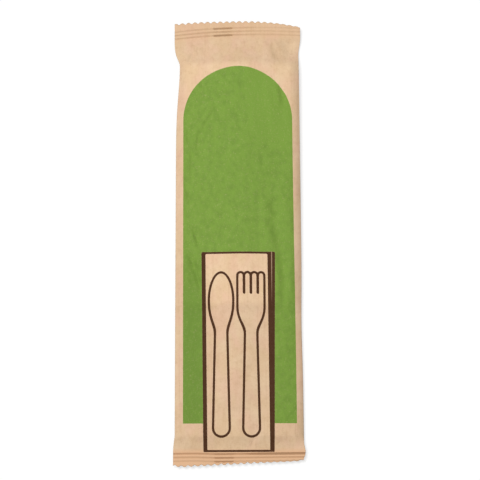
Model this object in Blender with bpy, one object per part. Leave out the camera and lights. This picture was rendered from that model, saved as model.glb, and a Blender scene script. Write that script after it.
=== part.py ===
"""Sealed paper packet for wooden cutlery, lying on its back with its printed face up.

The wrapper is one sheet of kraft paper: a flat tube, closed along the back by a folded
fin seam and at both ends by crimped seals with a pinked edge. It bulges over the folded
napkin and the cutlery that are sealed in, so the packet is one closed solid.

+X is the packet's right, +Y its head end and +Z up. The origin is on the floor under the
middle of the packet. All sizes are in metres.
"""

import math

import bmesh
import bpy

# Overall sizes
PACK_LENGTH = 0.210
SEAL_WIDTH = 0.060
HEAD_NARROWING = 0.0006
PULL_IN_HEAD = 0.0019
PULL_IN_FOOT = 0.0012
SIDE_HEIGHT = 0.0030
SIDE_ROUND = 0.0010
SEAL_THICKNESS = 0.0005

# Filling: a folded napkin, with the bowl and tines at the head end and the handles below
HEAD_SPACE = 0.0215
FOOT_SPACE = 0.0140
SLOPE_POWER = 1.6
KNEE_ROUND = 0.16
NAPKIN_HEIGHT = 0.0058
NAPKIN_LENGTH = 0.115
NAPKIN_STEP = 0.0011
NAPKIN_STEP_RUN = 0.009
SHOULDER_POWER = 8
BOWL_RISE = 0.0023
BOWL_WIDTH = 0.046
BOWL_LENGTH = 0.056
NECK_LENGTH = 0.034
HANDLE_RISE = 0.0012
HANDLE_WIDTH = 0.032
CUTLERY_LENGTH = 0.160
HANDLE_END_RUN = 0.008
BACK_FLAT_WIDTH = 0.042

# Crimped end seals
CRIMP_COUNT = 3
CRIMP_PITCH = 0.0017
CRIMP_DEPTH = 0.00042
HEAD_MARGIN = 0.00205
FOOT_MARGIN = 0.00125
HEAD_CRIMP_BOW = 0.00125
HEAD_CRIMP_PEAK_X = 0.009
FOOT_CRIMP_SLANT = 0.0007

# Pinked cut edges
TOOTH_PITCH = 0.0030
TOOTH_DEPTH = 0.00075
HEAD_CUT_BOW_LEFT = 0.00125
HEAD_CUT_BOW_RIGHT = 0.0035
HEAD_CUT_PEAK_X = 0.0025
FOOT_CUT_SLANT = 0.0028
TRIM_ALLOWANCE = 0.004

# Fin seam, folded flat against the back
FIN_CENTRE_X = -0.0068
FIN_WIDTH = 0.0086
FIN_THICKNESS = 0.0003
FIN_LIFT_RUN = 0.005
FIN_CRIMP_GAIN = 0.6

# Where the left side is drawn in beside the contents' upper edge
WAIST_DEPTH = 0.00165
WAIST_FROM_HEAD = 0.0230
WAIST_REACH_HEAD = 0.0050
WAIST_REACH_FOOT = 0.0190

# Dent in the slack paper of the upper right corner
DENT_DEPTH = 0.0008
DENT_FROM_HEAD = 0.0155
DENT_FROM_SIDE = 0.0100
DENT_LENGTH = 0.0095
DENT_WIDTH = 0.0048
DENT_ANGLE = math.radians(-48)

# How finely the surface is divided
ROWS_PER_CRIMP = 4
SLOPE_ROWS = 8
STEP_ROWS = 3
BODY_ROW_STEP = 0.0065
FRONT_COLUMNS = 24
BACK_COLUMNS_LEFT = 7
BACK_COLUMNS_RIGHT = 11
FIN_COLUMNS = 2

# Colour and finish
PAPER_COLOUR = (0.68, 0.48, 0.31, 1.0)
PAPER_ROUGHNESS = 0.78

HEAD_Y = PACK_LENGTH / 2
FOOT_Y = -PACK_LENGTH / 2
CRIMP_LENGTH = CRIMP_COUNT * CRIMP_PITCH
HEAD_SEAL_Y = HEAD_Y - HEAD_MARGIN - CRIMP_LENGTH
FOOT_SEAL_Y = FOOT_Y + FOOT_MARGIN + CRIMP_LENGTH
HEAD_FILL_Y = HEAD_Y - HEAD_SPACE
FOOT_FILL_Y = FOOT_Y + FOOT_SPACE
NAPKIN_FOOT_Y = HEAD_FILL_Y - NAPKIN_LENGTH
CUTLERY_FOOT_Y = HEAD_FILL_Y - CUTLERY_LENGTH
FIN_LEFT_X = FIN_CENTRE_X - FIN_WIDTH / 2
FIN_RIGHT_X = FIN_CENTRE_X + FIN_WIDTH / 2


def mix(a, b, share):
    """Value a share of the way from a to b."""
    return a + (b - a) * share


def ease(share):
    """Smooth step from 0 to 1, held at both ends."""
    t = min(max(share, 0.0), 1.0)
    return t * t * (3 - 2 * t)


def bump(offset, reach):
    """Bell of height 1 that has fallen to about a third at its reach."""
    return math.exp(-((offset / reach) ** 2))


def fill_share(y):
    """How full the packet is at y: 0 in the end seals and 1 past a knee at the contents."""
    head = (HEAD_SEAL_Y - y) / (HEAD_SEAL_Y - HEAD_FILL_Y)
    foot = (y - FOOT_SEAL_Y) / (FOOT_FILL_Y - FOOT_SEAL_Y)
    ramp = max(min(head, foot), 0.0) ** SLOPE_POWER
    near = max(KNEE_ROUND - abs(ramp - 1), 0.0) / KNEE_ROUND
    return min(ramp, 1.0) - near**2 * KNEE_ROUND / 4


def bowl_share(y):
    """1 over the bowl and tines, falling along the necks to 0 over the handles."""
    return 1 - ease((HEAD_FILL_Y - BOWL_LENGTH - y) / NECK_LENGTH + 0.5)


def half_width(y, side):
    """Distance from the middle to the side edge, on side -1 (left) or +1 (right)."""
    along = min(max((HEAD_Y - y) / PACK_LENGTH, 0.0), 1.0)
    flat_width = SEAL_WIDTH - mix(HEAD_NARROWING, 0.0, along)
    half = (flat_width - fill_share(y) * mix(PULL_IN_HEAD, PULL_IN_FOOT, along)) / 2
    if side < 0:
        offset = y - (HEAD_Y - WAIST_FROM_HEAD)
        reach = WAIST_REACH_HEAD if offset > 0 else WAIST_REACH_FOOT
        half -= WAIST_DEPTH * bump(offset, reach)
    return half


def edge_half_height(y):
    """Half the height of the side edge, thin in the seals and rounded on the body."""
    return mix(SEAL_THICKNESS, SIDE_ROUND, fill_share(y)) / 2


def crimp_height(x, y):
    """Depth of the crimp grooves, both plies together, deeper where the fin lies."""
    into_head = HEAD_Y - HEAD_MARGIN - y
    into_foot = y - FOOT_Y - FOOT_MARGIN
    into = min(into_head, into_foot)
    if not 0 < into < CRIMP_LENGTH:
        return 0.0
    gain = 1 + FIN_CRIMP_GAIN * bump(x - FIN_CENTRE_X, FIN_WIDTH / 2)
    return -CRIMP_DEPTH * gain * (1 - math.cos(math.tau * into / CRIMP_PITCH)) / 2


def dent_height(x, y):
    """Shallow diagonal dent in the upper right corner of the front."""
    along_x = x - (SEAL_WIDTH / 2 - DENT_FROM_SIDE)
    along_y = y - (HEAD_Y - DENT_FROM_HEAD)
    along = along_x * math.cos(DENT_ANGLE) + along_y * math.sin(DENT_ANGLE)
    across = along_y * math.cos(DENT_ANGLE) - along_x * math.sin(DENT_ANGLE)
    return -DENT_DEPTH * bump(along, DENT_LENGTH / 2) * bump(across, DENT_WIDTH / 2)


def front_height(x, y):
    """Height of the printed face above the floor."""
    fill = fill_share(y)
    spread = min(abs(x) / half_width(y, math.copysign(1, x)), 1.0)
    past_napkin = ease((NAPKIN_FOOT_Y - y) / NAPKIN_STEP_RUN + 0.5)
    contents = NAPKIN_HEIGHT - NAPKIN_STEP * past_napkin
    napkin = (contents - SIDE_HEIGHT) * (1 - spread**SHOULDER_POWER)
    bowl = bowl_share(y)
    rise = mix(HANDLE_RISE, BOWL_RISE, bowl)
    reach = min(abs(x) / (mix(HANDLE_WIDTH, BOWL_WIDTH, bowl) / 2), 1.0)
    before_end = ease((y - CUTLERY_FOOT_Y) / HANDLE_END_RUN + 0.5)
    cutlery = before_end * rise * (1 + math.cos(math.pi * reach)) / 2
    level = SIDE_HEIGHT + edge_half_height(y) + crimp_height(x, y)
    return level + fill * (napkin + cutlery) + dent_height(x, y) * (1 - spread**SHOULDER_POWER)


def back_height(x, y):
    """Height of the back's paper, flat on the floor but lifted beside the fin seam."""
    fill = fill_share(y)
    half = half_width(y, math.copysign(1, x))
    flat = BACK_FLAT_WIDTH / 2
    curl = min(max((abs(x) - flat) / (half - flat), 0.0), 1.0)
    edge = SIDE_HEIGHT - edge_half_height(y)
    beside_fin = max(abs(x - FIN_CENTRE_X) - FIN_WIDTH / 2, 0.0)
    lift = FIN_THICKNESS * max(1 - beside_fin / FIN_LIFT_RUN, 0.0)
    return edge * (1 - fill * (1 - curl**2)) + fill * lift + crimp_height(x, y)


def row_shift(x, y):
    """How far a row leaves its straight line: the seals are bowed and slanted a little."""
    across = x - HEAD_CRIMP_PEAK_X
    head_bow = -HEAD_CRIMP_BOW * (across / (SEAL_WIDTH / 2)) ** 2
    foot_slant = FOOT_CRIMP_SLANT * (x / SEAL_WIDTH + 0.5)
    shift = head_bow if y > 0 else foot_slant
    return shift * (1 - fill_share(y))


def spaced(start, end, count):
    """Evenly spaced values from start to end, both included."""
    return [mix(start, end, i / count) for i in range(count + 1)]


def body_rows():
    """The rows over the contents, closer together where the napkin and the handles end."""
    rows = [HEAD_FILL_Y]
    for end_y, run in ((NAPKIN_FOOT_Y, NAPKIN_STEP_RUN), (CUTLERY_FOOT_Y, HANDLE_END_RUN)):
        rows += even_rows(rows[-1], end_y + run / 2)
        rows += spaced(end_y + run / 2, end_y - run / 2, STEP_ROWS)[1:]
    return rows + even_rows(rows[-1], FOOT_FILL_Y)


def even_rows(start, end):
    """Rows about a body row apart, from start, which is left out, down to end."""
    count = max(round((start - end) / BODY_ROW_STEP), 1)
    return spaced(start, end, count)[1:]


def row_positions():
    """Every row's y, from beyond the head edge to beyond the foot edge."""
    crimp_rows = CRIMP_COUNT * ROWS_PER_CRIMP
    head_crimp = spaced(HEAD_Y - HEAD_MARGIN, HEAD_SEAL_Y, crimp_rows)
    head_slope = spaced(HEAD_SEAL_Y, HEAD_FILL_Y, SLOPE_ROWS)[1:]
    body = body_rows()[1:]
    foot_slope = spaced(FOOT_FILL_Y, FOOT_SEAL_Y, SLOPE_ROWS)[1:]
    foot_crimp = spaced(FOOT_SEAL_Y, FOOT_Y + FOOT_MARGIN, crimp_rows)[1:]
    ends = HEAD_Y + TRIM_ALLOWANCE, FOOT_Y - TRIM_ALLOWANCE
    return [ends[0], *head_crimp, *head_slope, *body, *foot_slope, *foot_crimp, ends[1]]


def front_columns(left, right):
    """The front's x positions, closer together towards the side edges."""
    shares = [
        0.6 * s + 0.4 * math.sin(math.pi * s / 2) for s in spaced(-1, 1, FRONT_COLUMNS)
    ]
    return [s * (right if s > 0 else left) for s in shares]


def section(y):
    """One closed ring of the packet at y, clockwise as seen from the foot."""
    left = half_width(y, -1)
    right = half_width(y, 1)
    inset = edge_half_height(y) / 2
    ring = [(x, front_height(x, y)) for x in front_columns(left - inset, right - inset)]
    ring.append((right, SIDE_HEIGHT + crimp_height(right, y)))
    for x in spaced(right - inset, FIN_RIGHT_X, BACK_COLUMNS_RIGHT):
        ring.append((x, back_height(x, y)))
    for x in spaced(FIN_RIGHT_X, FIN_LEFT_X, FIN_COLUMNS):
        ring.append((x, back_height(x, y) - FIN_THICKNESS))
    for x in spaced(FIN_LEFT_X, inset - left, BACK_COLUMNS_LEFT):
        ring.append((x, back_height(x, y)))
    ring.append((-left, SIDE_HEIGHT + crimp_height(-left, y)))
    return ring


def paper_blank(collection):
    """The filled wrapper, still with straight ends that reach past the cut edges."""
    mesh = bmesh.new()
    rows = row_positions()
    rings = []
    for y in rows:
        trimmed = y in (rows[0], rows[-1])
        ring = [
            mesh.verts.new((x, y + (0.0 if trimmed else row_shift(x, y)), z))
            for x, z in section(y)
        ]
        rings.append(ring)
    for upper, lower in zip(rings, rings[1:]):
        for i, corner in enumerate(upper):
            following = (i + 1) % len(upper)
            mesh.faces.new((corner, upper[following], lower[following], lower[i]))
    mesh.faces.new(rings[0])
    mesh.faces.new(rings[-1])
    bmesh.ops.recalc_face_normals(mesh, faces=mesh.faces)
    return mesh_object("cutlery_packet", mesh, collection)


def mesh_object(name, mesh, collection):
    """Turn a bmesh into a named object in a collection."""
    data = bpy.data.meshes.new(name)
    mesh.to_mesh(data)
    mesh.free()
    piece = bpy.data.objects.new(name, data)
    collection.objects.link(piece)
    return piece


def head_cut(x):
    """The head's cut line: bowed, highest near the middle and falling more to the right."""
    bow = HEAD_CUT_BOW_RIGHT if x > HEAD_CUT_PEAK_X else HEAD_CUT_BOW_LEFT
    return HEAD_Y - bow * ((x - HEAD_CUT_PEAK_X) / (SEAL_WIDTH / 2)) ** 2


def foot_cut(x):
    """The foot's cut line: lowest at the left corner and rising to the right."""
    return FOOT_Y + FOOT_CUT_SLANT * (x / SEAL_WIDTH + 0.5)


def pinking_cutter(name, cut_line, outward, collection):
    """Block whose inner side is the toothed edge, to trim one end of the blank."""
    half_teeth = 2 * math.ceil(SEAL_WIDTH / TOOTH_PITCH / 2) + 2
    outline = []
    for i in range(-half_teeth, half_teeth + 1):
        x = i * TOOTH_PITCH / 2
        notch = TOOTH_DEPTH if i % 2 else 0.0
        outline.append((x, cut_line(x) - outward * notch))
    outer_y = outward * (PACK_LENGTH / 2 + 2 * TRIM_ALLOWANCE)
    outline += [(outline[-1][0], outer_y), (outline[0][0], outer_y)]
    mesh = bmesh.new()
    base = mesh.faces.new([mesh.verts.new((x, y, -SIDE_HEIGHT)) for x, y in outline])
    grown = bmesh.ops.extrude_face_region(mesh, geom=[base])
    top = [v for v in grown["geom"] if isinstance(v, bmesh.types.BMVert)]
    bmesh.ops.translate(mesh, verts=top, vec=(0, 0, 3 * SIDE_HEIGHT))
    bmesh.ops.recalc_face_normals(mesh, faces=mesh.faces)
    cutter = mesh_object(name, mesh, collection)
    cutter.hide_render = True
    cutter.display_type = "WIRE"
    return cutter


def cut(piece, cutter):
    """Cut one solid away from another with a live modifier."""
    boolean = piece.modifiers.new(cutter.name, "BOOLEAN")
    boolean.operation = "DIFFERENCE"
    boolean.solver = "EXACT"
    boolean.object = cutter


def kraft_paper():
    """Plain brown kraft paper."""
    material = bpy.data.materials.new("kraft_paper")
    material.use_nodes = True
    shader = material.node_tree.nodes["Principled BSDF"]
    shader.inputs["Base Color"].default_value = PAPER_COLOUR
    shader.inputs["Roughness"].default_value = PAPER_ROUGHNESS
    shader.inputs["Metallic"].default_value = 0.0
    return material


def new_collection(name):
    """A collection linked to the scene."""
    collection = bpy.data.collections.new(name)
    bpy.context.scene.collection.children.link(collection)
    return collection


def main():
    """Clear the scene and build the packet."""
    for old in list(bpy.data.objects):
        bpy.data.objects.remove(old)
    parts = new_collection("cutlery_packet_parts")
    cutters = new_collection("cutters")
    packet = paper_blank(parts)
    packet.data.materials.append(kraft_paper())
    cut(packet, pinking_cutter("pinking_cutter_head", head_cut, 1, cutters))
    cut(packet, pinking_cutter("pinking_cutter_foot", foot_cut, -1, cutters))
    packet.data.shade_smooth()
    packet.data.set_sharp_from_angle(angle=math.radians(35))


main()
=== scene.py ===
"""Dressed model of a sealed kraft-paper packet for wooden cutlery.

The packet lies on its back. +X is its right, +Y its head end and +Z up, in metres, as in
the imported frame. The paper is one fine closed skin with a folded seam along the back. Its
crimp ribs and pinked edges are made by Geometry Nodes, and its print is two inks laid over
the paper by one material.
"""

from __future__ import annotations

import logging
import math
from dataclasses import dataclass
from enum import Enum

import bpy
import numpy as np
from mathutils import Matrix, Vector


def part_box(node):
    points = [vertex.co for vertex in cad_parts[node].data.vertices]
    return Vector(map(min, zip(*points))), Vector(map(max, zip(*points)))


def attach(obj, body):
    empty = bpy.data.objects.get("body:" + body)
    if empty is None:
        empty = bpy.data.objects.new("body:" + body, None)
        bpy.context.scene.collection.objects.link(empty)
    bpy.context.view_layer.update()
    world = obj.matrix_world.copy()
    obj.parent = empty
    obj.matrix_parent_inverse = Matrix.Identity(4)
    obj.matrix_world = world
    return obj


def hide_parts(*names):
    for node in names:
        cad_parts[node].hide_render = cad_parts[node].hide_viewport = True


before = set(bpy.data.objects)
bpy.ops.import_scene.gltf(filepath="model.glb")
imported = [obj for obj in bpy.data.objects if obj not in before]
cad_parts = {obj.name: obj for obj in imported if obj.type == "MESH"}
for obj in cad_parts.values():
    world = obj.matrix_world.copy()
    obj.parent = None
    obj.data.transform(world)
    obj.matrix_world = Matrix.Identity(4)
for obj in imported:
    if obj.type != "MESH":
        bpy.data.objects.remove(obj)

log = logging.getLogger("cutlery_packet")

NODE = "cutlery_packet"
BODY = "root"
MM = 0.001
WHITE = (1.0, 1.0, 1.0)

# Numbers for many points at once, an end of a node's link, and plain pairs and triples.
Grid = np.ndarray
Socket = bpy.types.NodeSocket
Pair = tuple[float, float]
Triple = tuple[float, float, float]


class Shape(Enum):
    """The shapes of the print, by the name of the mesh attribute that holds each one.

    Each attribute is the signed distance to the shape's outline, negative inside it.
    """

    PANEL = "panel"
    NAPKIN = "napkin"
    WINDOW = "window"
    FOLD = "fold"
    SPOON = "spoon"
    FORK = "fork"


class End(Enum):
    """The two sealed ends, by the direction in which each points along Y."""

    HEAD = 1
    FOOT = -1


def ease(share: Grid) -> Grid:
    """Smooth step from 0 to 1, held at both ends."""
    t = np.clip(share, 0.0, 1.0)
    return t * t * (3 - 2 * t)


def step(distance: Grid, run: float) -> Grid:
    """Smooth step from 0 to 1 over a run, which is halfway at distance 0."""
    return ease(distance / run + 0.5)


def between(start: float, end: float, share: Grid) -> Grid:
    """Value that lies a share of the way from the start to the end."""
    return start + (end - start) * share


def bell(offset: Grid, reach: Grid | float) -> Grid:
    """Bell of height 1 that has fallen to about a third at its reach."""
    return np.exp(-((offset / reach) ** 2))


def smooth_min(a: Grid, b: Grid | float, blend: float) -> Grid:
    """Lesser of two fields, rounded where they cross.

    Args:
        a: First field.
        b: Second field or value.
        blend: Difference within which the two are rounded into each other.

    Returns:
        The rounded lesser field.
    """
    near = np.maximum(blend - np.abs(a - b), 0.0) / blend
    return np.minimum(a, b) - near * near * blend / 4


def link_object(name: str, data: bpy.types.ID) -> bpy.types.Object:
    """Put something into the scene.

    Args:
        name: Name of the object.
        data: Its mesh, light or camera.

    Returns:
        The object, at the origin.
    """
    piece = bpy.data.objects.new(name, data)
    bpy.context.scene.collection.objects.link(piece)
    return piece


@dataclass(frozen=True)
class Crease:
    """A soft fold, dent or slope in the front's paper, straight and fading at its ends.

    Attributes:
        x: Middle of the crease across the packet.
        y: Middle of the crease along the packet.
        length: Length over which it shows.
        turn: Direction in degrees, 0 along X and 90 along Y.
        reach: Half width.
        height: Height, negative for a valley.
        sharp: How sharp its line is, from 0 for a round trough to 1 for a fold.
        worn: How far the ink and the paper's face are worn along it.
        lean: From 0 for a ridge or valley to 1 for a slope, high on the line's left.
        fold_narrowing: Half width of a fold as a share of a round trough's.
    """

    x: float
    y: float
    length: float
    turn: float
    reach: float
    height: float
    sharp: float = 0.0
    worn: float = 0.0
    lean: float = 0.0
    fold_narrowing: float = 0.7

    @classmethod
    def fold(cls, x: float, y: float, length: float, turn: float, reach: float, height: float,
             sharp: float = 0.0, worn: float = 0.0) -> Crease:
        """A ridge or a valley, with its lengths in millimetres."""
        return cls(x * MM, y * MM, length * MM, turn, reach * MM, height * MM, sharp, worn)

    @classmethod
    def slope(
        cls, x: float, y: float, length: float, turn: float, reach: float, height: float
    ) -> Crease:
        """A soft slope, with its lengths in millimetres."""
        return cls(x * MM, y * MM, length * MM, turn, reach * MM, height * MM, lean=1.0)

    def field(self, x: Grid, y: Grid) -> Grid:
        """Shape of the crease as a share of its height.

        Args:
            x: Positions across the packet.
            y: Positions along the packet.

        Returns:
            1 along a ridge's or valley's line, or 1 and -1 beside that of a slope,
            falling to 0 at the sides and ends.
        """
        angle = math.radians(self.turn)
        along = (x - self.x) * math.cos(angle) + (y - self.y) * math.sin(angle)
        across = (y - self.y) * math.cos(angle) - (x - self.x) * math.sin(angle)
        # Full over the middle third of its length, and gone at both ends.
        window = ease(1.5 - 3 * np.abs(along) / self.length)
        round_form = bell(across, self.reach)
        fold_form = np.exp(-np.abs(across) / (self.fold_narrowing * self.reach))
        level = round_form * (1 - self.sharp) + fold_form * self.sharp
        share = across / self.reach
        slope = share * np.exp(0.5 - share * share / 2)
        return window * (level * (1 - self.lean) + slope * self.lean)


@dataclass(frozen=True)
class Undulation:
    """Sum of random cosine waves: the slight unevenness of slack paper.

    Attributes:
        height: Typical height of the sum.
        wavelength: Mean wavelength across the packet.
        stretch: How much longer the waves are along the packet.
        waves: How many cosines are added.
        seed: Seed of the random directions and phases.
        shortest: Shortest wave as a share of the mean one.
        longest: Longest wave as a share of the mean one.
    """

    height: float
    wavelength: float
    stretch: float
    waves: int
    seed: int
    shortest: float = 0.6
    longest: float = 1.6

    def field(self, x: Grid, y: Grid) -> Grid:
        """Height of the unevenness.

        Args:
            x: Positions across the packet.
            y: Positions along the packet.

        Returns:
            Height at each position, in metres.
        """
        random = np.random.default_rng(self.seed)
        total = np.zeros_like(x)
        for _ in range(self.waves):
            turn = random.uniform(0, math.tau)
            pitch = self.wavelength * random.uniform(self.shortest, self.longest)
            phase = random.uniform(0, math.tau)
            step_x = math.cos(turn) * math.tau / pitch
            step_y = math.sin(turn) * math.tau / (pitch * self.stretch)
            total += np.cos(step_x * x + step_y * y + phase)
        return total * self.height / math.sqrt(self.waves / 2)


@dataclass(frozen=True)
class PacketForm:
    """Shape of the packet: its outline, the fall of the paper and the seals.

    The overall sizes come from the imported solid. Lengths are in metres. A station is a
    place along the packet, before the rows of a seal are bowed and slanted.
    """

    length: float
    seal_width: float

    # Side edges
    head_narrowing: float = 0.3 * MM
    pull_in_head: float = 0.95 * MM
    pull_in_foot_left: float = 0.75 * MM
    pull_in_foot_right: float = 0.45 * MM
    pull_in_pace_right: float = 1.6
    side_height: float = 3.0 * MM
    side_round: float = 1.0 * MM
    seal_thickness: float = 0.34 * MM
    lip: float = 0.35 * MM

    # Contents, and the slopes up to them
    head_space: float = 21.5 * MM
    foot_space: float = 14.0 * MM
    slope_power: float = 1.6
    slope_overrun: float = 1.4
    knee: float = 0.16
    napkin_height: float = 5.8 * MM
    napkin_length: float = 115 * MM
    napkin_width: float = 50 * MM
    napkin_step: float = 1.1 * MM
    napkin_step_run: float = 9 * MM
    shoulder_power: float = 8.0
    right_shoulder_power: float = 11.0
    bowl_rise: float = 2.3 * MM
    bowl_width: float = 46 * MM
    bowl_length: float = 56 * MM
    neck_length: float = 34 * MM
    handle_rise: float = 1.2 * MM
    handle_width: float = 32 * MM
    cutlery_length: float = 160 * MM
    handle_end_run: float = 8 * MM
    back_flat_width: float = 42 * MM
    backing_blur: float = 3 * MM
    backing_head_blur: float = 4 * MM
    backing_head_level: float = 0.4

    # Crimped seals, the press on each rib, and the painted shadow at the foot's inner rib
    crimp_count: int = 3
    crimp_pitch: float = 1.7 * MM
    crimp_depth: float = 0.42 * MM
    head_margin: float = 2.35 * MM
    foot_margin: float = 1.50 * MM
    head_crimp_bow: float = 1.43 * MM
    head_crimp_peak_x: float = 9 * MM
    foot_crimp_slant: float = 0.45 * MM
    foot_crimp_rise: float = 0.40 * MM
    foot_crimp_rise_start: float = 8 * MM
    foot_crimp_rise_run: float = 14 * MM
    head_rib_marks: Triple = (0.85, 0.85, 0.70)
    head_fin_marks: Triple = (2.2, 0.3, 1.6)
    foot_rib_marks: Triple = (1.35, 0.95, 0.60)
    foot_fin_marks: Triple = (0.5, 0.9, 1.2)
    fin_mark_reach: float = 1.1
    fin_mark_fade: float = 0.2
    mark_lean_x: float = 2 * MM
    mark_lean_run: float = 12 * MM
    head_mark_drop: float = 0.45
    # Painted shadow: darkens the right of the foot's inner groove, where the slack paper
    # overhangs the seal.
    foot_fold_shadow_gain: float = 3.3

    # Pinked ends
    tooth_pitch: float = 3.0 * MM
    tooth_depth: float = 0.80 * MM
    head_tooth_x: float = 0.9 * MM
    foot_tooth_x: float = -0.7 * MM
    head_cut_bow_left: float = 1.25 * MM
    head_cut_bow_right: float = 3.8 * MM
    head_cut_peak_x: float = 2.5 * MM
    foot_cut_slant: float = 2.8 * MM

    # Fin seam
    fin_centre_x: float = -6.8 * MM
    fin_width: float = 8.6 * MM
    fin_thickness: float = 0.3 * MM
    fin_lift_run: float = 5 * MM

    # Waist on the left, nip and ear on the right, and the foot's corners
    waist_depth: float = 1.65 * MM
    waist_from_head: float = 23 * MM
    waist_reach_head: float = 6 * MM
    waist_reach_foot: float = 19 * MM
    nip_depth: float = 0.40 * MM
    nip_y: float = -40 * MM
    nip_reach: float = 18 * MM
    ear: float = 0.15 * MM
    ear_y: float = -98.3 * MM
    ear_reach: float = 2.2 * MM
    corner_cut: float = 0.8 * MM
    corner_reach: float = 4.5 * MM
    corner_lift: float = 0.5 * MM
    corner_lift_reach: float = 2.4 * MM

    @property
    def crimp_length(self) -> float:
        """Length of the ribbed band of a seal."""
        return self.crimp_count * self.crimp_pitch

    @property
    def head_seal_y(self) -> float:
        """Inner end of the head seal."""
        return self.length / 2 - self.head_margin - self.crimp_length

    @property
    def foot_seal_y(self) -> float:
        """Inner end of the foot seal."""
        return self.foot_margin + self.crimp_length - self.length / 2

    @property
    def head_fill_y(self) -> float:
        """Upper edge of the contents."""
        return self.length / 2 - self.head_space

    @property
    def foot_fill_y(self) -> float:
        """Lower edge of the contents."""
        return self.foot_space - self.length / 2

    def along(self, y: Grid) -> Grid:
        """Share of the way from the head tip (0) to the foot tip (1)."""
        return np.clip(0.5 - y / self.length, 0.0, 1.0)

    def run_in(self, y: Grid) -> Grid:
        """How far stations lie from the nearer seal towards the contents.

        Args:
            y: Stations.

        Returns:
            0 in the seal, 1 where the contents begin, and more than 1 on them.
        """
        head = (self.head_seal_y - y) / (self.head_seal_y - self.head_fill_y)
        foot = (y - self.foot_seal_y) / (self.foot_fill_y - self.foot_seal_y)
        return np.maximum(np.minimum(head, foot), 0.0)

    def fill(self, y: Grid) -> Grid:
        """How full the packet is: 0 in the seals and 1 over the contents, with a firm knee."""
        ramp = np.minimum(self.run_in(y), self.slope_overrun) ** self.slope_power
        return smooth_min(ramp, 1.0, self.knee)

    def bowl_share(self, y: Grid) -> Grid:
        """1 over the bowl and tines, falling along the necks to 0 over the handles."""
        return 1 - step(self.head_fill_y - self.bowl_length - y, self.neck_length)

    def half_width(self, y: Grid, right: bool) -> Grid:
        """Distance from the middle to a side edge.

        Args:
            y: Stations.
            right: True for the right edge, False for the left one.

        Returns:
            The half width at each station.
        """
        along = self.along(y)
        seal = self.seal_width / 2 - self.head_narrowing * (1 - along)
        pull_in_foot = self.pull_in_foot_right if right else self.pull_in_foot_left
        pull_in = between(self.pull_in_head, pull_in_foot, along)
        if right:
            nip = self.nip_depth * bell(y - self.nip_y, self.nip_reach)
            ear = self.ear * bell(y - self.ear_y, self.ear_reach)
            corner = self.corner_cut * ease(1 - (y + self.length / 2) / self.corner_reach)
            pulled = ease(self.pull_in_pace_right * self.run_in(y)) * pull_in
            return seal - pulled - nip + ear - corner
        offset = y - (self.length / 2 - self.waist_from_head)
        reach = np.where(offset > 0, self.waist_reach_head, self.waist_reach_foot)
        return seal - self.fill(y) * pull_in - self.waist_depth * bell(offset, reach)

    def edge_half_height(self, y: Grid) -> Grid:
        """Half the height of the side edge, thin in the seals and rounded on the body."""
        return between(self.seal_thickness, self.side_round, self.fill(y)) / 2

    def row_shift(self, x: Grid, y: Grid) -> Grid:
        """How far the rows of a seal leave a straight line across the packet.

        Args:
            x: Positions across the packet.
            y: Stations.

        Returns:
            Shift along the packet, which fades to 0 towards the contents.
        """
        across = (x - self.head_crimp_peak_x) / (self.seal_width / 2)
        head_bow = -self.head_crimp_bow * across**2
        foot_slant = self.foot_crimp_slant * (x / self.seal_width + 0.5)
        from_middle = -x - self.foot_crimp_rise_start
        foot_slant += self.foot_crimp_rise * ease(from_middle / self.foot_crimp_rise_run)
        return np.where(y > 0, head_bow, foot_slant) * (1 - self.fill(y))

    def cut_line(self, x: Grid, end: End) -> Grid:
        """Line of the tooth tips at one end.

        Args:
            x: Positions across the packet.
            end: Which end.

        Returns:
            The y of the cut edge at each position.
        """
        if end is End.FOOT:
            from_corner = self.seal_width / 2 - np.abs(x)
            corner = self.corner_lift * bell(from_corner, self.corner_lift_reach)
            return corner + self.foot_cut_slant * (x / self.seal_width + 0.5) - self.length / 2
        across = (x - self.head_cut_peak_x) / (self.seal_width / 2)
        bow = np.where(across > 0, self.head_cut_bow_right, self.head_cut_bow_left)
        return self.length / 2 - bow * across**2

    def backing(self, x: Grid, y: Grid) -> Grid:
        """Where the folded napkin lies against the front's paper.

        Args:
            x: Positions across the packet.
            y: Positions along the packet.

        Returns:
            1 over the napkin, falling to 0 beside it.
        """
        foot_y = self.head_fill_y - self.napkin_length
        across = step(self.napkin_width / 2 - np.abs(x), self.backing_blur)
        head = ease((self.head_fill_y - y) / self.backing_head_blur + self.backing_head_level)
        return across * head * step(y - foot_y, self.backing_blur)

    def press_and_shadow_marks(self, x: Grid, run: Grid, at_head: Grid) -> Grid:
        """Press marks of each rib, which set its depth and how dark its groove is painted.

        They are harder over the folded fin seam and softer on the right of the head's seal.
        On the right of the foot's inner rib they are raised to paint the shadow of the slack
        paper that overhangs the seal there.

        Args:
            x: Positions across the packet.
            run: How far each point lies into a seal.
            at_head: Whether it is the head's seal.

        Returns:
            The pressure, 1 for a plain rib.
        """
        rib = np.clip(run / self.crimp_pitch, 0, self.crimp_count - 1).astype(int)
        end = at_head.astype(int)
        plain = np.array((self.foot_rib_marks, self.head_rib_marks))[end, rib]
        extra = np.array((self.foot_fin_marks, self.head_fin_marks))[end, rib]
        beside = np.abs(x - self.fin_centre_x) / (self.fin_width / 2)
        right = ease((x - self.mark_lean_x) / self.mark_lean_run)
        # Painted shadow along the right of the foot's inner groove.
        foot_with_shadow = 1 + self.foot_fold_shadow_gain * right * (rib == 0)
        lean = np.where(at_head, 1 - self.head_mark_drop * right, foot_with_shadow)
        return plain * lean + extra * ease((self.fin_mark_reach - beside) / self.fin_mark_fade)

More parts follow.
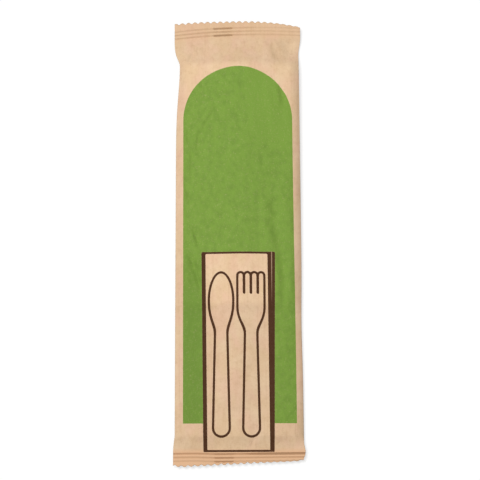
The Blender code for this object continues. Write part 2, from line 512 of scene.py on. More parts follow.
    def front_rise(self, x: Grid, y: Grid, spread: Grid) -> Grid:
        """Rise of the printed face above the side edge, without creases.

        Args:
            x: Positions across the packet.
            y: Stations.
            spread: Distance from the middle as a share of the half width.

        Returns:
            Rise above the side edge.
        """
        past_napkin = self.head_fill_y - self.napkin_length - y
        napkin = self.napkin_height - self.napkin_step * step(past_napkin, self.napkin_step_run)
        power = np.where(x < 0, self.shoulder_power, self.right_shoulder_power)
        shoulder = 1 - np.abs(spread) ** power
        bowl = self.bowl_share(y)
        rise = between(self.handle_rise, self.bowl_rise, bowl)
        width = between(self.handle_width, self.bowl_width, bowl)
        reach = np.minimum(np.abs(x) / (width / 2), 1.0)
        end_y = self.head_fill_y - self.cutlery_length
        cutlery = rise * step(y - end_y, self.handle_end_run)
        cutlery *= (1 + np.cos(math.pi * reach)) / 2
        return self.fill(y) * ((napkin - self.side_height) * shoulder + cutlery)

    def back_height(self, x: Grid, y: Grid, half: Grid, edge: Grid) -> Grid:
        """Height of the back's paper, flat on the floor but lifted beside the fin seam.

        Args:
            x: Positions across the packet.
            y: Stations.
            half: Half width of the packet at each position.
            edge: Height of the underside at the packet's side.

        Returns:
            Height above the floor.
        """
        flat = self.back_flat_width / 2
        curl = np.clip((np.abs(x) - flat) / (half - flat), 0.0, 1.0)
        beside_fin = np.maximum(np.abs(x - self.fin_centre_x) - self.fin_width / 2, 0.0)
        lift = self.fin_thickness * np.maximum(1 - beside_fin / self.fin_lift_run, 0.0)
        fill = self.fill(y)
        return edge * (1 - fill * (1 - curl**2)) + fill * lift


@dataclass
class PaperFall:
    """Creases, dents and unevenness that the slack paper shows over the form."""

    creases: list[Crease]
    broad: Undulation = Undulation(0.16 * MM, 20 * MM, stretch=2.0, waves=14, seed=7)
    fine: Undulation = Undulation(0.045 * MM, 5.5 * MM, stretch=1.8, waves=26, seed=11)
    edge_wave: Undulation = Undulation(0.16 * MM, 38 * MM, stretch=1.0, waves=6, seed=3)
    wear_gain: float = 1.6

    @classmethod
    def from_photo(cls) -> PaperFall:
        """Set the folds and dents in the places where the real packet shows them.

        Each line gives x, y, length, turn, reach and height, and for a sharper fold also
        how sharp and how worn it is.

        Returns:
            The fall of the paper.
        """
        # The upper right corner falls away to the right, past two short folds.
        corner_dents = [
            Crease.slope(18.6, 89.8, 19, 94, 4.8, 0.50),
            Crease.slope(22.4, 92.4, 9, 96, 3.0, 0.26),
            Crease.slope(15.6, 90.8, 13, 112, 1.7, 0.22),
            Crease.fold(18.0, 93.6, 7, 118, 1.0, 0.16, 0.3),
            Crease.fold(26.6, 94.6, 8, 38, 1.3, -0.20, 0.4),
        ]
        # Small folds lie along the left shoulder and above the arch, and one on the right.
        shoulder_folds = [
            Crease.slope(-22.9, 86.4, 8, 62, 0.9, 0.34),
            Crease.fold(-25.8, 82.0, 9, 104, 0.9, -0.36, 0.4),
            Crease.fold(-16.5, 86.5, 13, 4, 3.0, -0.30),
            Crease.slope(-23.8, 48.8, 9, 90, 0.9, 0.34),
            Crease.slope(-26.7, 40.2, 8, 78, 0.9, 0.34),
            Crease.slope(-22.2, 35.0, 20, 90, 0.9, 0.30),
            Crease.slope(-24.4, 22.0, 18, 101, 0.9, 0.30),
            Crease.slope(19.8, 68.0, 13, 100, 1.2, 0.28),
        ]
        # The panel has long soft folds over the cutlery and steps where the contents end.
        panel_folds = [
            Crease.slope(-21.5, 58.8, 14, 55, 2.6, -0.50),
            Crease.fold(-18.0, 64.6, 18, 6, 2.2, -0.34),
            Crease.slope(-14.3, 56.5, 17, 60, 0.9, 0.34),
            Crease.fold(-14.5, 57.5, 24, 62, 4.0, 0.50),
            Crease.fold(-12.0, 41.0, 13, 90, 3.6, 0.34),
            Crease.fold(16.6, 63.0, 34, 95, 4.2, 0.50),
            Crease.slope(-19.1, 45.5, 14, 84, 0.8, 0.28),
            Crease.slope(-20.2, 0.3, 13, 107, 1.0, 0.50),
            Crease.slope(-20.3, -16.5, 25, 107, 1.2, 0.58),
            Crease.slope(-18.9, -16.0, 23, 107, 1.6, -0.50),
            Crease.slope(-22.6, -18.0, 17, 100, 1.1, 0.32),
            Crease.slope(15.2, 13.5, 12, 106, 2.5, 0.66),
            Crease.slope(16.0, 2.2, 18, 110, 2.6, 0.84),
            Crease.slope(17.8, -8.0, 14, 97, 1.8, 0.36),
            Crease.slope(19.0, -20.5, 28, 91, 1.8, 0.46),
            Crease.slope(23.2, -16.0, 30, 92, 1.6, -0.28),
            Crease.slope(24.4, -24.0, 100, 90, 3.6, 0.18),
            Crease.slope(0.0, -31.5, 52, -1, 1.6, 0.16),
            Crease.slope(3.0, -76.0, 20, 178, 1.8, 0.14),
        ]
        # Short folds run up from the foot's seal.
        foot_folds = [
            Crease.fold(6.5, -93.2, 8, 66, 0.8, -0.34, 0.6, 0.1),
            Crease.fold(17.2, -94.0, 10, 12, 1.6, -0.14, 0.3),
            Crease.fold(21.5, -90.0, 13, 128, 1.1, -0.28, 0.5),
            Crease.fold(25.8, -91.5, 9, 112, 0.9, 0.30, 0.5),
            Crease.fold(-24.0, -90.5, 12, 60, 1.3, -0.20, 0.4),
            Crease.fold(-10.0, -94.0, 9, 104, 1.0, -0.20, 0.4),
        ]
        return cls(creases=corner_dents + shoulder_folds + panel_folds + foot_folds)

    def height(self, x: Grid, y: Grid) -> Grid:
        """Height that the creases and the unevenness add.

        Args:
            x: Positions across the packet.
            y: Positions along the packet.

        Returns:
            The height, before it fades at the sides.
        """
        total = self.broad.field(x, y) + self.fine.field(x, y)
        for crease in self.creases:
            total += crease.height * crease.field(x, y)
        return total

    def wear(self, x: Grid, y: Grid) -> Grid:
        """How worn the paper's face is along the sharper creases.

        Args:
            x: Positions across the packet.
            y: Positions along the packet.

        Returns:
            The wear, from 0 to 1.
        """
        total = np.zeros_like(x)
        for crease in self.creases:
            total += crease.worn * crease.sharp * crease.field(x, y) ** 2
        return np.clip(self.wear_gain * total, 0.0, 1.0)


@dataclass(frozen=True)
class Print:
    """The print: a plain arched panel, and a generic spoon and fork on a napkin.

    Each shape is a signed distance, negative inside. The cutlery is drawn with arcs and
    straight lines of one weight.
    """

    # Panel
    panel_half_width: float = 25.45 * MM
    panel_flare: float = 0.85 * MM
    arch_top_y: float = 81.5 * MM
    panel_foot_y: float = -85.3 * MM

    # Napkin, its border and its fold line
    napkin_centre_x: float = -0.05 * MM
    napkin_head_y: float = -6.6 * MM
    napkin_foot_y: float = -98.1 * MM
    napkin_head_half: float = 16.95 * MM
    napkin_foot_half: float = 16.15 * MM
    side_band: float = 1.85 * MM
    end_band: float = 0.95 * MM
    fold_band_head: float = 3.55 * MM
    fold_band_foot: float = 2.0 * MM
    fold_gap: float = 0.42 * MM
    fold_gap_length: float = 46 * MM
    fold_place: float = 0.45

    # Spoon and fork
    line: float = 1.1 * MM
    spoon_x: float = -8.0 * MM
    fork_x: float = 5.7 * MM
    sign_head_y: float = -16.2 * MM
    sign_foot_y: float = -91.2 * MM
    spoon_half_width: float = 5.6 * MM
    spoon_bowl_length: float = 24.5 * MM
    bowl_taper: float = 0.06
    tine_count: int = 4
    tine_pitch: float = 3.15 * MM
    tine_radius: float = 1.5 * MM
    tine_length: float = 9.6 * MM
    fork_head_length: float = 25.0 * MM
    palm_share: float = 0.36
    handle_neck: float = 2.6 * MM
    handle_end: float = 3.8 * MM
    handle_start: float = 0.7
    blend: float = 4 * MM

    @staticmethod
    def box(x: Grid, y: Grid, low: Pair, high: Pair) -> Grid:
        """Distance to an upright rectangle.

        Args:
            x: Positions across.
            y: Positions along.
            low: Lower left corner.
            high: Upper right corner.

        Returns:
            Signed distance, negative inside.
        """
        dx = np.abs(x - (low[0] + high[0]) / 2) - (high[0] - low[0]) / 2
        dy = np.abs(y - (low[1] + high[1]) / 2) - (high[1] - low[1]) / 2
        outside = np.hypot(np.maximum(dx, 0.0), np.maximum(dy, 0.0))
        return outside + np.minimum(np.maximum(dx, dy), 0.0)

    @staticmethod
    def ellipse(x: Grid, y: Grid, half_x: float, half_y: float) -> Grid:
        """Distance to an ellipse about the origin, which is exact only near its outline.

        Args:
            x: Positions across.
            y: Positions along.
            half_x: Half the ellipse's width.
            half_y: Half its length.

        Returns:
            Signed distance, negative inside.
        """
        scaled = np.hypot(x / half_x, y / half_y)
        steep = np.hypot(x / half_x**2, y / half_y**2)
        return scaled * (scaled - 1) / np.maximum(steep, 1e-9)

    @staticmethod
    def bar(x: Grid, y: Grid, upper: Pair, lower: Pair) -> Grid:
        """Distance to an upright bar with round ends.

        Args:
            x: Positions across, from the bar's middle.
            y: Positions along.
            upper: The y and the radius of the upper end.
            lower: The same for the lower end.

        Returns:
            Signed distance, negative inside.
        """
        share = np.clip((upper[0] - y) / (upper[0] - lower[0]), 0.0, 1.0)
        radius = between(upper[1], lower[1], share)
        return np.hypot(x, y - between(upper[0], lower[0], share)) - radius

    def panel(self, x: Grid, y: Grid) -> Grid:
        """Distance to the arched panel, which widens a little towards the foot.

        Args:
            x: Positions across.
            y: Positions along.

        Returns:
            Signed distance, negative inside.
        """
        radius = self.panel_half_width
        centre_y = self.arch_top_y - radius
        flare = self.panel_flare * ease((centre_y - y) / (centre_y - self.panel_foot_y))
        across = x - flare / 2
        arch = np.hypot(across, y - centre_y) - radius
        side = radius + flare / 2
        square = self.box(across, y, (-side, self.panel_foot_y), (side, centre_y))
        return np.minimum(arch, square)

    def napkin_edges(self, y: Grid) -> tuple[Grid, Grid, Grid]:
        """The napkin's sides, which come closer together towards the foot.

        Args:
            y: Positions along.

        Returns:
            The left edge, the right edge and the width of the right band at each y.
        """
        share = (self.napkin_head_y - y) / (self.napkin_head_y - self.napkin_foot_y)
        half = between(self.napkin_head_half, self.napkin_foot_half, share)
        band = between(self.fold_band_head, self.fold_band_foot, share)
        return self.napkin_centre_x - half, self.napkin_centre_x + half, band

    def napkin(self, x: Grid, y: Grid) -> Grid:
        """Distance to the outside of the napkin's border.

        Args:
            x: Positions across.
            y: Positions along.

        Returns:
            Signed distance, negative inside.
        """
        left, right, _ = self.napkin_edges(y)
        sides = np.maximum(left - x, x - right)
        return np.maximum(sides, np.maximum(y - self.napkin_head_y, self.napkin_foot_y - y))

    def window(self, x: Grid, y: Grid) -> Grid:
        """Distance to the inside of the napkin's border.

        Args:
            x: Positions across.
            y: Positions along.

        Returns:
            Signed distance, negative inside.
        """
        left, right, band = self.napkin_edges(y)
        sides = np.maximum(left + self.side_band - x, x - right + band)
        head = y - self.napkin_head_y + self.end_band
        foot = self.napkin_foot_y + self.end_band - y
        return np.maximum(sides, np.maximum(head, foot))

    def fold(self, x: Grid, y: Grid) -> Grid:
        """Distance right of the fold line, which runs down the right band."""
        _, right, band = self.napkin_edges(y)
        return x - right + self.fold_place * band

    def handle(self, x: Grid, y: Grid, head_length: float) -> Grid:
        """Distance to a handle, from inside the head down to its round end.

        Args:
            x: Positions across, from the handle's middle.
            y: Positions along.
            head_length: Length of the bowl, or of the fork's head.

        Returns:
            Signed distance, negative inside.
        """
        upper = (self.sign_head_y - self.handle_start * head_length, self.handle_neck)
        lower = (self.sign_foot_y + self.handle_end, self.handle_end)
        return self.bar(x, y, upper, lower)

    def spoon(self, x: Grid, y: Grid) -> Grid:
        """Distance to the spoon's outline, whose bowl is a little narrower at its head.

        Args:
            x: Positions across.
            y: Positions along.

        Returns:
            Signed distance, negative inside.
        """
        across = x - self.spoon_x
        half_length = self.spoon_bowl_length / 2
        up = y - self.sign_head_y + half_length
        narrowing = 1 + self.bowl_taper * up / half_length
        bowl = self.ellipse(across * narrowing, up, self.spoon_half_width, half_length)
        return smooth_min(bowl, self.handle(across, y, self.spoon_bowl_length), self.blend)

    def fork(self, x: Grid, y: Grid) -> Grid:
        """Distance to the fork's outline: four round tines and a palm.

        Args:
            x: Positions across.
            y: Positions along.

        Returns:
            Signed distance, negative inside.
        """
        across = x - self.fork_x
        outer = (self.tine_count - 1) / 2
        half = outer * self.tine_pitch + self.tine_radius
        root_y = self.sign_head_y - self.tine_length
        palm_length = self.palm_share * self.fork_head_length
        palm_y = self.sign_head_y - (self.fork_head_length - palm_length)
        square = np.maximum(np.abs(across) - half, y - root_y)
        palm = np.where(y > palm_y, square, self.ellipse(across, y - palm_y, half, palm_length))
        outline = smooth_min(palm, self.handle(across, y, self.fork_head_length), self.blend)
        tip = (self.sign_head_y - self.tine_radius, self.tine_radius)
        root = (root_y - self.tine_radius, self.tine_radius)
        for tine in range(self.tine_count):
            beside = across + (tine - outer) * self.tine_pitch
            outline = np.minimum(outline, self.bar(beside, y, tip, root))
        return outline

    def measure(self, x: Grid, y: Grid) -> dict[str, Grid]:
        """Every shape's distance at each place, by the name of its attribute."""
        return {shape.value: getattr(self, shape.value)(x, y) for shape in Shape}


@dataclass(frozen=True)
class Grain:
    """A noise pattern in the paper or the ink.

    Attributes:
        cells: Cells for each metre.
        detail: How many finer layers it has.
        stretch: Scale along each axis, below 1 for a longer pattern, or None.
        turn: Turn of a stretched pattern about Z, in radians.
        roughness: How strong the finer layers are.
    """

    cells: float
    detail: float
    stretch: Triple | None = None
    turn: float = 0.0
    roughness: float = 0.55


@dataclass(frozen=True)
class Shade:
    """How a pattern shades a colour.

    Attributes:
        start: The pattern's value at which the shade sets in.
        end: The value at which it has its full strength.
        strength: Share of the other colour there.
    """

    start: float
    end: float
    strength: float


def rgba(colour: Triple) -> tuple[float, float, float, float]:
    """A colour with full alpha."""
    return (*colour, 1.0)


class NodeGraph:
    """Short-hand for building a node tree: adds nodes, sets sockets and links them."""

    def __init__(self, tree: bpy.types.NodeTree) -> None:
        """Take the tree to build in."""
        self.tree = tree

    @classmethod
    def of_material(cls, name: str) -> tuple[bpy.types.Material, NodeGraph, bpy.types.NodeInputs]:
        """Make a material with a plain shader.

        Args:
            name: Name of the material.

        Returns:
            The material, its graph and the shader's inputs.
        """
        material = bpy.data.materials.new(name)
        material.use_nodes = True
        shader = material.node_tree.nodes["Principled BSDF"].inputs
        return material, cls(material.node_tree), shader

    def add(self, kind: str, inputs: dict | None = None, **settings: object) -> bpy.types.Node:
        """Add a node.

        Args:
            kind: The node's type name.
            inputs: Socket name or index to a value or to an output socket.
            **settings: Properties of the node itself.

        Returns:
            The new node.
        """
        node = self.tree.nodes.new(kind)
        for name, value in settings.items():
            setattr(node, name, value)
        for key, value in (inputs or {}).items():
            self.feed(node.inputs[key], value)
        return node

    def feed(self, socket: Socket, value: object) -> None:
        """Link an output socket to a socket, or set the socket's own value.

        Args:
            socket: The input socket.
            value: An output socket, or a plain value.
        """
        if isinstance(value, Socket):
            self.tree.links.new(value, socket)
        else:
            socket.default_value = value

    def math(self, operation: str, *values: object, clamp: bool = False) -> Socket:
        """Add a math node and give its result.

        Args:
            operation: The operation's name.
            *values: Numbers or output sockets.
            clamp: Whether the result is held between 0 and 1.

        Returns:
            The result's socket.
        """
        node = self.add("ShaderNodeMath", operation=operation, use_clamp=clamp)
        for socket, value in zip(node.inputs, values):
            self.feed(socket, value)
        return node.outputs[0]

    def minus(self, value: Socket) -> Socket:
        """The value with the other sign."""
        return self.math("MULTIPLY", value, -1.0)

    def axis(self, place: Socket, name: str) -> Socket:
        """One coordinate of a place, by the name of its axis."""
        return self.add("ShaderNodeSeparateXYZ", {0: place}).outputs[name]

    def seen_by_eye(self) -> Socket:
        """Tell the rays that the eye follows from those that light the scene.

        Returns:
            The socket of a number that is 1 for the eye's rays, and 0 for the others.
        """
        path = self.add("ShaderNodeLightPath").outputs
        eye = self.math("MAXIMUM", path["Is Camera Ray"], path["Is Glossy Ray"])
        return self.math("MAXIMUM", eye, path["Is Transmission Ray"])

    def remap(self, value: object, source: Pair, target: Pair = (0.0, 1.0)) -> Socket:
        """Carry a value smoothly from one range to another, held at both ends.

        Args:
            value: Number or output socket.
            source: Range that is read.
            target: Range that is given.

        Returns:
            The result's socket.
        """
        ends = zip(("From Min", "From Max", "To Min", "To Max"), (*source, *target))
        inputs = {"Value": value, **dict(ends)}
        node = self.add("ShaderNodeMapRange", inputs, interpolation_type="SMOOTHSTEP")
        return node.outputs["Result"]

    def mix(self, share: object, a: object, b: object, how: str = "MIX") -> Socket:
        """Mix two colours, from the first at share 0 to the second at share 1."""
        inputs = {0: share, 6: a, 7: b}
        return self.add("ShaderNodeMix", inputs, data_type="RGBA", blend_type=how).outputs[2]

    def shade(self, colour: object, pattern: Socket, shade: Shade, other: object) -> Socket:
        """Mix another colour into a colour where a pattern says so."""
        share = self.remap(pattern, (shade.start, shade.end), (0.0, shade.strength))
        return self.mix(share, colour, other)

    def noise(self, place: Socket, grain: Grain) -> Socket:
        """Add a noise pattern.

        Args:
            place: Object coordinates.
            grain: The pattern.

        Returns:
            The socket of its value, from 0 to 1.
        """
        if grain.stretch:
            turned = {"Vector": place, "Rotation": (0, 0, grain.turn), "Scale": grain.stretch}
            place = self.add("ShaderNodeMapping", turned).outputs[0]
        inputs = {"Vector": place, "Scale": grain.cells, "Detail": grain.detail,
                  "Roughness": grain.roughness}
        return self.add("ShaderNodeTexNoise", inputs).outputs["Fac"]

    def attribute(self, name: str) -> Socket:
        """Number stored on the mesh under a name, in a material."""
        node = self.add("ShaderNodeAttribute", attribute_name=name, attribute_type="GEOMETRY")
        return node.outputs["Fac"]


@dataclass(frozen=True)
class PrintedKraft:
    """Matt brown kraft paper with two inks that soak into it.

    Colours are linear. The paper has cloudy blotches, short dark and pale fibres and faint
    lines from the paper machine. It is browned in the seals, and darker in their grooves,
    partly as paper browned by the jaws and partly as painted shade. Along the cut edges it
    darkens as painted shade of the edge, and it is darker where the napkin does not lie
    beneath it. The inks let a little of that through, and they thin out where a crease has
    worn them.
    """

    artwork: Print
    name: str = "printed_kraft"

    # Colours of the paper and the inks
    paper: Triple = (0.775, 0.545, 0.332)
    paper_rosy: Triple = (0.805, 0.532, 0.357)
    paper_pale: Triple = (0.865, 0.648, 0.430)
    paper_dark: Triple = (0.560, 0.350, 0.195)
    # Darkening where the napkin does not lie beneath the paper.
    off_napkin_darkening: Triple = (0.915, 0.915, 0.925)
    sealed_paper: Triple = (0.740, 0.462, 0.275)
    # Groove colour: paper browned by the jaws, with painted shade.
    pressed_and_shaded_paper: Triple = (0.225, 0.120, 0.055)
    green: Triple = (0.184, 0.330, 0.042)
    green_deep: Triple = (0.148, 0.272, 0.034)
    brown: Triple = (0.062, 0.023, 0.008)

    # Patterns, and how the paper and the green are shaded by them
    hue_grain: Grain = Grain(105.0, 3.0, (1.2, 0.8, 1.0), 0.4)
    cloud_grain: Grain = Grain(120.0, 3.0, (1.0, 0.7, 1.0))
    blotch_grain: Grain = Grain(480.0, 3.0)
    machine_grain: Grain = Grain(1300.0, 1.0, (1.0, 0.02, 1.0))
    long_fibres: Grain = Grain(4200.0, 2.0, (1.0, 0.16, 1.0), 0.12)
    cross_fibres: Grain = Grain(2900.0, 2.0, (0.3, 1.0, 1.0), -0.5)
    ink_grain: Grain = Grain(420.0, 4.0, (1.0, 0.75, 1.0))
    edge_grain: Grain = Grain(2300.0, 2.0)
    gloss_grain: Grain = Grain(900.0, 2.0)
    cockle_grain: Grain = Grain(420.0, 3.0, (1.0, 0.55, 1.0))
    rosy_shade: Shade = Shade(0.40, 0.66, 0.9)
    cloud_shade: Shade = Shade(0.38, 0.70, 0.45)
    blotch_shade: Shade = Shade(0.44, 0.76, 0.26)
    machine_shade: Shade = Shade(0.50, 0.78, 0.20)
    pale_fibre_shade: Shade = Shade(0.55, 0.70, 0.45)
    dark_fibre_shade: Shade = Shade(0.46, 0.30, 0.40)
    green_shade: Shade = Shade(0.40, 0.68, 1.0)

    # Browning in the seals, painted shade in their grooves, and painted shade along the cut edges
    heat_reach: float = 90 * MM
    heat: Pair = (1.0, 0.32)
    sealed_run: Pair = (-2.2 * MM, 0.3 * MM)
    press_and_shade_strength: float = 0.34
    darkest_groove_share: float = 0.62
    edge_shade_run: float = 0.9 * MM
    edge_shade_strength: float = 0.45

    # Cover and density of the inks
    edge_blur: float = 0.07 * MM
    edge_wander: float = 0.10 * MM
    ink_variation: float = 0.58
    ink_level: float = 0.21
    # Darker green towards the lower left and paler green towards the upper right.
    darker_green_x: Pair = (-13 * MM, -21 * MM)
    darker_green_y: Pair = (0.0, -28 * MM)
    darker_green_share: float = 0.16
    paler_green_x: Pair = (1 * MM, 9 * MM)
    paler_green_y: Pair = (38 * MM, 56 * MM)
    paler_green_share: float = -0.20
    green_off_napkin_share: float = 0.5
    starved_fibres: Pair = (0.52, 0.70)
    starving: Pair = (0.03, 0.20)
    wear_share: float = 0.28
    brown_thinning: float = 0.2
    fold_paleness: float = 0.42

    # Sheen and fine relief
    gloss_range: Pair = (0.3, 0.7)
    roughness: Pair = (0.84, 0.72)
    specular: float = 0.14
    cockle_share: float = 4.0
    bump_strength: float = 0.45
    bump_height: float = 0.06 * MM

    def fibres(self, graph: NodeGraph, place: Socket) -> Socket:
        """Short fibres in two directions.

        Args:
            graph: Graph of the material.
            place: Object coordinates.

        Returns:
            The pattern's socket, from 0 to 1 with most of the paper near a half.
        """
        long_fibres = graph.noise(place, self.long_fibres)
        cross_fibres = graph.noise(place, self.cross_fibres)
        return graph.math("MULTIPLY", graph.math("ADD", long_fibres, cross_fibres), 0.5)

    def paper_colour(self, graph: NodeGraph, place: Socket, fibres: Socket) -> Socket:
        """Colour of the bare paper, which the head's seal has browned less than the foot's.

        Args:
            graph: Graph of the material.
            place: Object coordinates.
            fibres: The fibre pattern.

        Returns:
            The colour's socket.
        """
        layers = (
            (graph.noise(place, self.hue_grain), self.rosy_shade, self.paper_rosy),
            (graph.noise(place, self.cloud_grain), self.cloud_shade, self.paper_pale),
            (graph.noise(place, self.blotch_grain), self.blotch_shade, self.paper_dark),
            (graph.noise(place, self.machine_grain), self.machine_shade, self.paper_dark),
            (fibres, self.pale_fibre_shade, self.paper_pale),
            (fibres, self.dark_fibre_shade, self.paper_dark),
        )
        colour = rgba(self.paper)
        for pattern, shade, other in layers:
            colour = graph.shade(colour, pattern, shade, rgba(other))
        colour = self.darken_off_napkin(graph, colour, 1.0)
        heat_run = (-self.heat_reach, self.heat_reach)
        heat = graph.remap(graph.axis(place, "Y"), heat_run, self.heat)
        sealed = graph.remap(graph.attribute("seal_run"), self.sealed_run)
        sealed = graph.math("MULTIPLY", sealed, heat)
        colour = graph.mix(sealed, colour, rgba(self.sealed_paper))
        # Painted shade along the cut edges, which darkens towards the edge.
        edge_shade = Shade(self.edge_shade_run, 0.0, self.edge_shade_strength)
        colour = graph.shade(colour, graph.attribute("edge_run"), edge_shade, rgba(self.paper_dark))
        # Painted shade in the seals' grooves, on top of the paper browned by the jaws.
        press_and_shade = graph.math("MULTIPLY", graph.attribute("press_and_shade"), self.press_and_shade_strength)
        press_and_shade = graph.math("MINIMUM", press_and_shade, self.darkest_groove_share)
        return graph.mix(press_and_shade, colour, rgba(self.pressed_and_shaded_paper))

    def darken_off_napkin(self, graph: NodeGraph, colour: Socket, strength: float) -> Socket:
        """Darken a colour by the given strength where the napkin does not lie beneath the paper.
        """
        bare = graph.math("MULTIPLY_ADD", graph.attribute("backing"), -strength, strength)
        return graph.mix(bare, colour, rgba(self.off_napkin_darkening), "MULTIPLY")

    def cover(self, graph: NodeGraph, distance: Socket, wander: Socket) -> Socket:
        """1 inside a shape and 0 beside it, with a slightly blurred and wandering edge."""
        edge = graph.math("ADD", distance, wander)
        return graph.remap(edge, (self.edge_blur, -self.edge_blur))

    def ink_density(self, graph: NodeGraph, place: Socket) -> Socket:
        """How deep the green is: random ink variation, darker at the lower left and paler at the
        upper right.

        Args:
            graph: Graph of the material.
            place: Object coordinates.

        Returns:
            The density's socket.
        """
        density = graph.noise(place, self.ink_grain)
        density = graph.math("MULTIPLY_ADD", density, self.ink_variation, self.ink_level)
        x = graph.axis(place, "X")
        y = graph.axis(place, "Y")
        left = graph.remap(x, self.darker_green_x, (0.0, self.darker_green_share))
        low = graph.math("MULTIPLY", left, graph.remap(y, self.darker_green_y))
        right = graph.remap(x, self.paler_green_x, (0.0, self.paler_green_share))
        high = graph.math("MULTIPLY", right, graph.remap(y, self.paler_green_y))
        return graph.math("ADD", density, graph.math("ADD", low, high))

    def green_cover(self, graph: NodeGraph, wander: Socket) -> Socket:
        """Where the green lies: on the panel, but not on the napkin.

        Args:
            graph: Graph of the material.
            wander: How far the ink's edge wanders.

        Returns:
            The cover's socket, from 0 to 1.
        """
        off_napkin = graph.minus(graph.attribute(Shape.NAPKIN.value))
        panel = graph.attribute(Shape.PANEL.value)
        return self.cover(graph, graph.math("MAXIMUM", panel, off_napkin), wander)

    def brown_cover(self, graph: NodeGraph, place: Socket, wander: Socket) -> Socket:
        """Where the brown lies: the napkin's border, and the lines of the cutlery.

        The border is paler along the fold line, which widens towards the head.

        Args:
            graph: Graph of the material.
            place: Object coordinates.
            wander: How far the ink's edge wanders.

        Returns:
            The cover's socket, from 0 to 1.
        """
        sign = self.artwork
        off_window = graph.minus(graph.attribute(Shape.WINDOW.value))
        drawn = graph.math("MAXIMUM", graph.attribute(Shape.NAPKIN.value), off_window)
        for outline in (Shape.SPOON, Shape.FORK):
            beside = graph.math("ABSOLUTE", graph.attribute(outline.value))
            stroke = graph.math("SUBTRACT", beside, sign.line / 2)
            drawn = graph.math("MINIMUM", drawn, stroke)
        brown = self.cover(graph, drawn, wander)

        closing = (sign.napkin_head_y - sign.fold_gap_length, sign.napkin_head_y)
        width = (-sign.fold_gap / 2, sign.fold_gap / 2)
        half_gap = graph.remap(graph.axis(place, "Y"), closing, width)
        beside = graph.math("ABSOLUTE", graph.attribute(Shape.FOLD.value))
        gap = self.cover(graph, graph.math("SUBTRACT", beside, half_gap), wander)
        left = graph.math("MULTIPLY_ADD", gap, -self.fold_paleness, 1.0)
        return graph.math("MULTIPLY", brown, left)

    def relief(self, graph: NodeGraph, place: Socket, fibres: Socket) -> Socket:
        """Bump of the fibres and of the paper's cockle, too fine for the mesh.

        Args:
            graph: Graph of the material.
            place: Object coordinates.
            fibres: The fibre pattern.

        Returns:
            The socket of the bumped normal.
        """
        cockle = graph.noise(place, self.cockle_grain)
        height = graph.math("MULTIPLY_ADD", cockle, self.cockle_share, fibres)
        inputs = {"Height": height, "Strength": self.bump_strength, "Distance": self.bump_height}
        return graph.add("ShaderNodeBump", inputs).outputs["Normal"]

    def build(self) -> bpy.types.Material:
        """Make the material.

        Returns:
            The material.
        """
        material, graph, shader = NodeGraph.of_material(self.name)
        place = graph.add("ShaderNodeTexCoord").outputs["Object"]
        fibres = self.fibres(graph, place)
        paper = self.paper_colour(graph, place, fibres)
        wander = graph.noise(place, self.edge_grain)
        wander = graph.math("MULTIPLY_ADD", wander, self.edge_wander, -self.edge_wander / 2)

        density = self.ink_density(graph, place)
        green = graph.shade(rgba(self.green), density, self.green_shade, rgba(self.green_deep))
        green = self.darken_off_napkin(graph, green, self.green_off_napkin_share)
        starved = graph.remap(fibres, self.starved_fibres, self.starving)
        worn = graph.attribute("crease_wear")
        thin = graph.math("MULTIPLY_ADD", worn, self.wear_share, starved)
        green = graph.mix(thin, green, paper)
        thin_brown = graph.math("MULTIPLY", thin, self.brown_thinning)
        brown = graph.mix(thin_brown, rgba(self.brown), paper)

        colour = graph.mix(self.green_cover(graph, wander), paper, green)
        colour = graph.mix(self.brown_cover(graph, place, wander), colour, brown)
        gloss = graph.noise(place, self.gloss_grain)
        graph.feed(shader["Base Color"], colour)
        graph.feed(shader["Roughness"], graph.remap(gloss, self.gloss_range, self.roughness))
        graph.feed(shader["Specular IOR Level"], self.specular)
        graph.feed(shader["Normal"], self.relief(graph, place, fibres))
        return material


